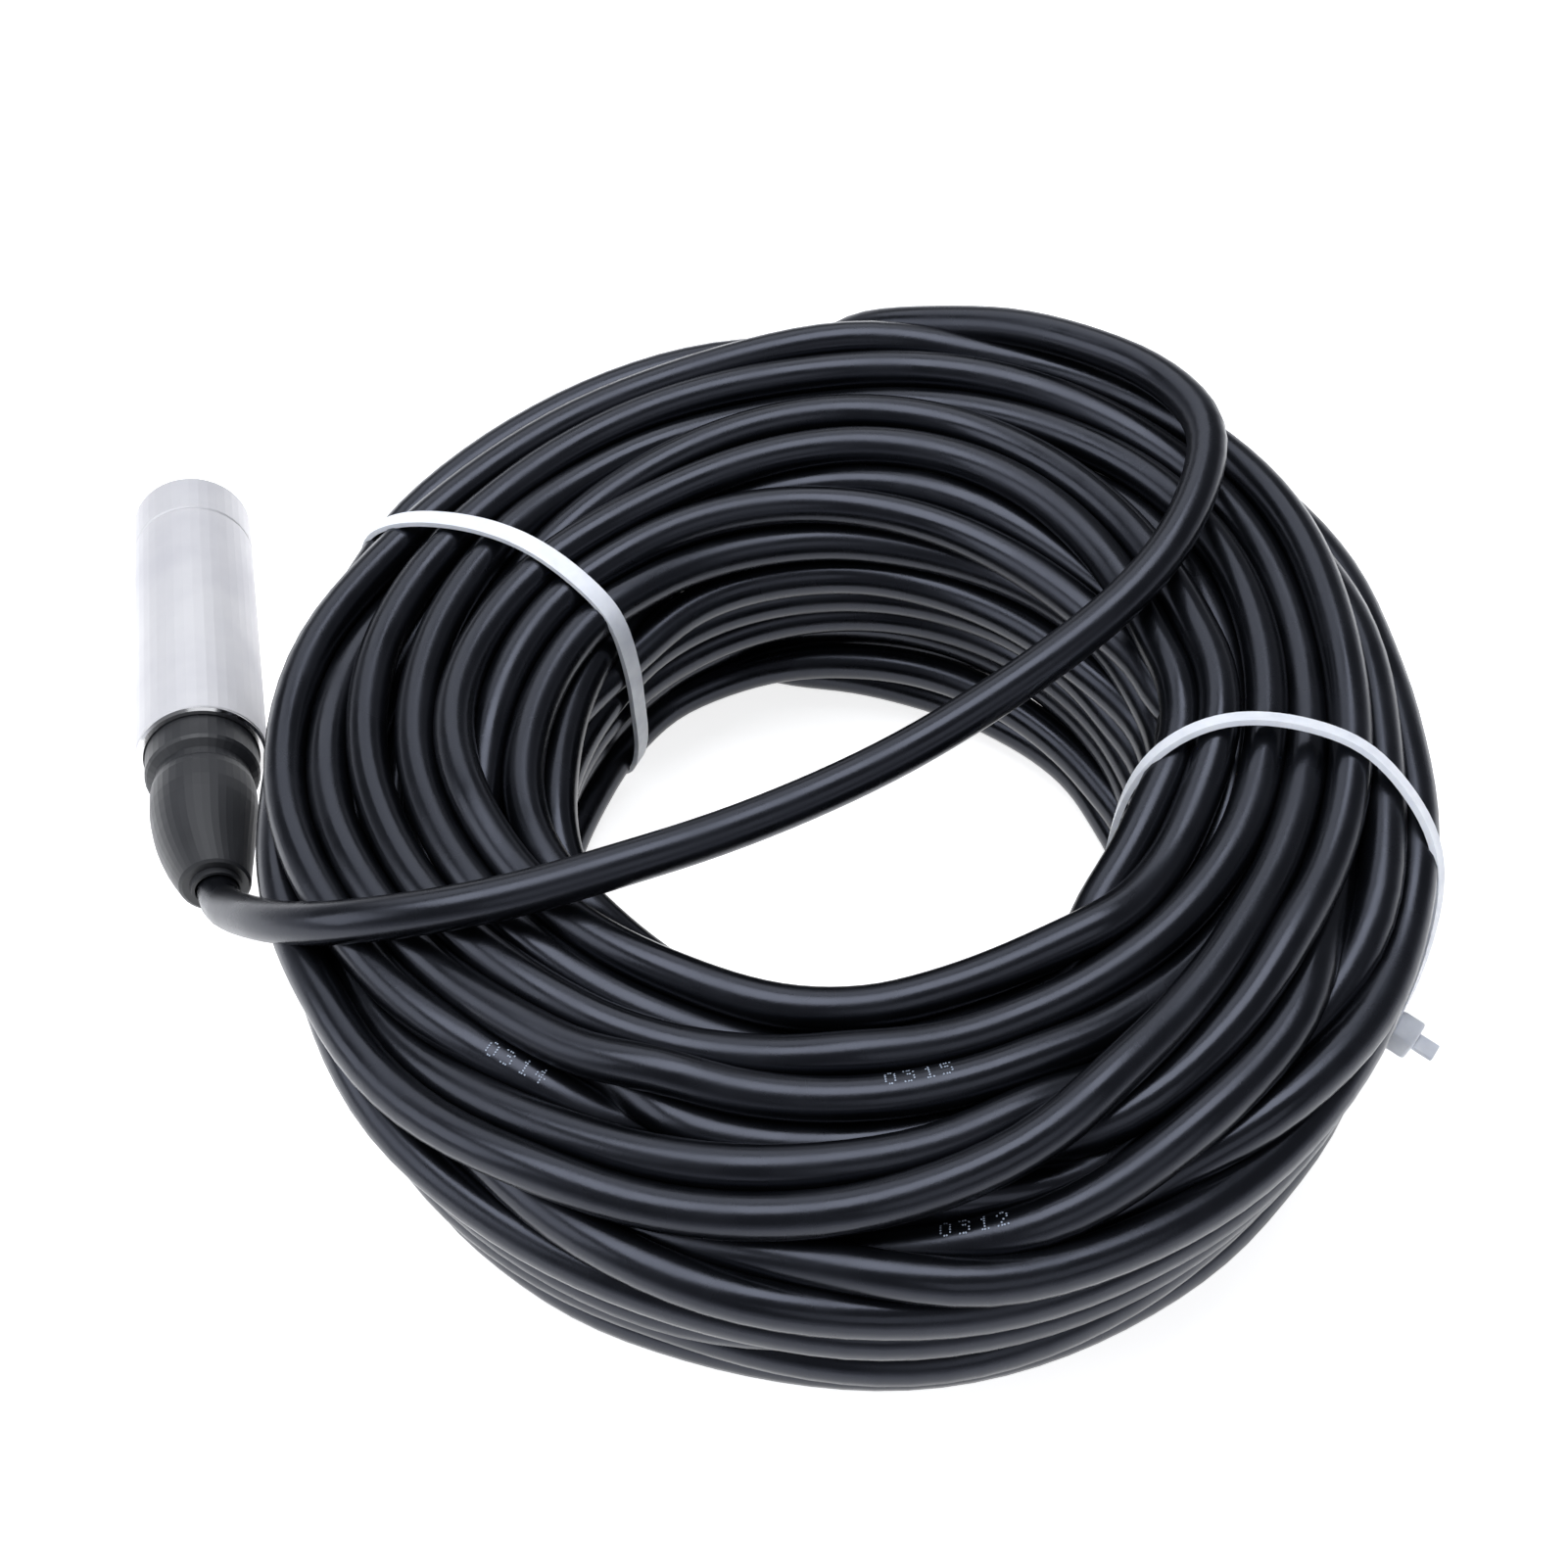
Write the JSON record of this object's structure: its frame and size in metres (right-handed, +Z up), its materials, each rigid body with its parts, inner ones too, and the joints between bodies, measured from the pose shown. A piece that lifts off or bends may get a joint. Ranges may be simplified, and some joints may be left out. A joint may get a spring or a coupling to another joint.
{
  "type": "liquid level sensor",
  "caption": "Submersible pressure probe for liquid level: blasted steel body with a screwed nose cap, moulded black boot and a tied coil of vented black cable.",
  "frame": {"origin": "on the ground under the middle of the rigid probe (nose to boot), with the cable coil not counted", "axes": "+Y from the cable end to the nose along the ground, +Z up, +X to the right of the probe, where the coil lies"},
  "size_m": [0.2481, 0.2576, 0.0887],
  "materials": {
    "blasted_steel": "bead blasted",
    "turned_steel": "fine turned",
    "nickel_plate": "satin",
    "brass_pins": "satin",
    "boot_rubber": "satin",
    "seal_rubber": "matt",
    "cable_jacket": "semi-gloss",
    "white_nylon": "satin",
    "board_laminate": "satin",
    "chip_case": "matt",
    "tantalum_case": "satin",
    "red_insulation": "satin",
    "clear_capillary": "satin"
  },
  "bodies": {
    "probe_body": {"amplifier_chip": "chip_case", "board_ring_front": "white_nylon", "board_ring_rear": "white_nylon", "cable_coil": "cable_jacket", "cable_grommet": "seal_rubber", "cable_in_gland": "cable_jacket", "cable_lead": "cable_jacket", "cable_tail": "cable_jacket", "capacitor": "tantalum_case", "cell_clamp_ring": "nickel_plate", "cell_seal_ring": "seal_rubber", "cell_vent_tube": "turned_steel", "circuit_board": "board_laminate", "conductor_black": "chip_case", "conductor_red": "red_insulation", "core_black": "chip_case", "core_red": "red_insulation", "diaphragm": "turned_steel", "gland_body": "nickel_plate", "gland_nut": "nickel_plate", "gland_seal_ring": "seal_rubber", "grommet_washer": "turned_steel", "header_pin_1": "brass_pins", "header_pin_2": "brass_pins", "header_pin_3": "brass_pins", "header_pin_4": "brass_pins", "housing_tube": "blasted_steel", "output_transistor": "chip_case", "sensor_cell": "turned_steel", "strain_relief_boot": "boot_rubber", "surge_suppressor_1": "chip_case", "surge_suppressor_2": "chip_case", "tie_left": "white_nylon", "tie_right": "white_nylon", "vent_capillary": "clear_capillary"},
    "cap_seal": {"cap_seal_ring": "seal_rubber"},
    "nose_cap": {"nose_cap": "blasted_steel"}
  },
  "joints": [
    {"name": "cap_travel", "type": "slide", "parent": "probe_body", "child": "cap_seal", "axis": [0, 0.9885, -0.1513], "range_m": [0, 0.006]},
    {"name": "cap_turn", "type": "hinge", "parent": "cap_seal", "child": "nose_cap", "pos_m": [0, 0.052, 0.01521], "axis": [0, 0.9885, -0.1513], "range_deg": [0, 1440]}
  ],
  "couplings": [
    {"joint": "cap_travel", "follows": "cap_turn", "m_per_rad": 0.0002387}
  ]
}
